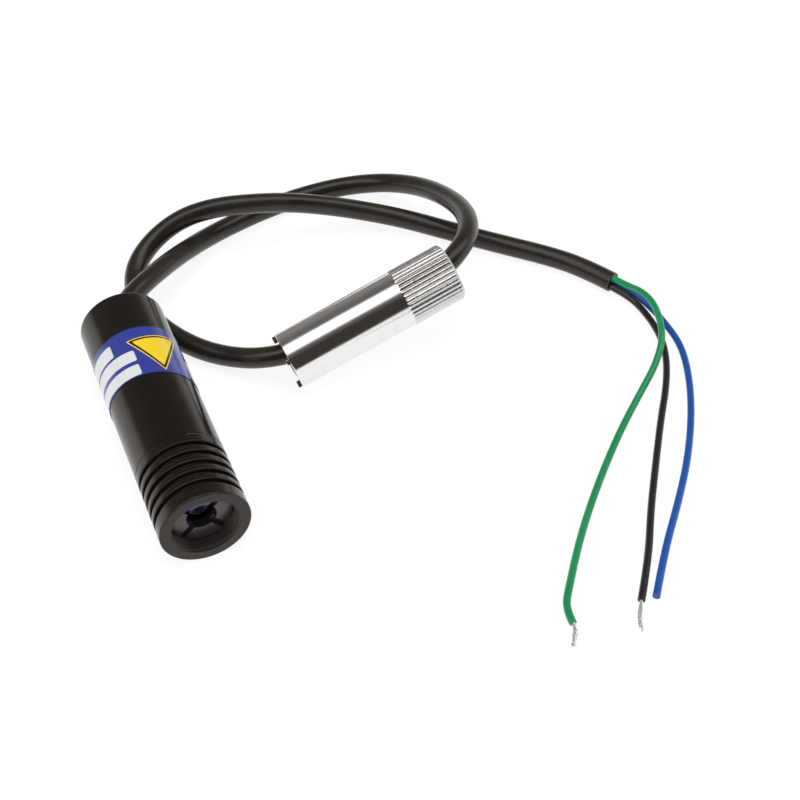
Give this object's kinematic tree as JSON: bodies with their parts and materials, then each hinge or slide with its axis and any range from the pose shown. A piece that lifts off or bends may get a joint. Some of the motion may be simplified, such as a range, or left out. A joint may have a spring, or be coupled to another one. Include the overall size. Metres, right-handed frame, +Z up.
{
  "type": "laser diode module",
  "caption": "Round focusable laser diode module with a grooved front, a recessed slotted lens cell, a looped cable with three wires, and a knurled focusing key on the cable.",
  "frame": {"origin": "on the table, under the middle of the barrel", "axes": "+Y along the barrel from its front face to its cable end, +Z up from the table"},
  "size_m": [0.102, 0.1205, 0.0191],
  "materials": {
    "black_anodised": "satin black anodised",
    "black_plastic": "moulded",
    "tinned_steel": "tinned",
    "label_film": "printed film",
    "black_rubber": "moulded",
    "black_cell": "black anodised",
    "coated_lens": "coated",
    "spring_steel": "drawn",
    "brass": "turned",
    "gold_header": "gold plated",
    "nickel_cap": "nickel plated",
    "window_glass": "polished",
    "circuit_board": "solder mask",
    "tantalum": "moulded",
    "trimmer_body": "moulded",
    "ceramic_chip": "fired",
    "solder": "tinned",
    "green_insulation": "extruded",
    "black_insulation": "extruded",
    "blue_insulation": "extruded",
    "black_jacket": "extruded, satin",
    "polished_key": "polished, with a turned grain"
  },
  "bodies": {
    "housing": {"front_housing": "black_anodised", "rear_housing": "black_anodised", "rear_plug": "black_plastic", "cable_clamp": "tinned_steel", "label": "label_film", "seam_seal": "black_rubber", "focus_spring": "spring_steel", "diode_holder": "brass", "diode_retainer": "brass", "diode_header": "gold_header", "diode_cap": "nickel_cap", "diode_window": "window_glass", "diode_leads": "gold_header", "driver_board": "circuit_board", "driver_chip": "black_plastic", "drive_transistor": "black_plastic", "tantalum_capacitor": "tantalum", "current_trimmer": "trimmer_body", "ceramic_capacitors": "ceramic_chip", "chip_resistors": "black_plastic", "solder_joints": "solder", "green_wire_inside": "green_insulation", "black_wire_inside": "black_insulation", "blue_wire_inside": "blue_insulation", "cable_jacket": "black_jacket", "green_wire": "green_insulation", "black_wire": "black_insulation", "blue_wire": "blue_insulation", "green_strands": "solder", "black_strands": "solder", "focusing_key": "polished_key"},
    "spring_seat": {"thrust_washer": "spring_steel"},
    "focusing_cell": {"lens_cell": "black_cell", "collimating_lens": "coated_lens", "lens_retainer": "black_cell"}
  },
  "joints": [
    {"name": "focus_travel", "type": "slide", "parent": "housing", "child": "spring_seat", "axis": [0, 1, 0], "range_m": [-0.0015, 0.0015], "deforming": ["focus_spring"]},
    {"name": "focus_turn", "type": "hinge", "parent": "spring_seat", "child": "focusing_cell", "pos_m": [0, -0.0226, 0.0075], "axis": [0, 1, 0], "range_deg": [-1080, 1080]}
  ],
  "couplings": [
    {"joint": "focus_turn", "follows": "focus_travel", "rad_per_m": 12566}
  ]
}
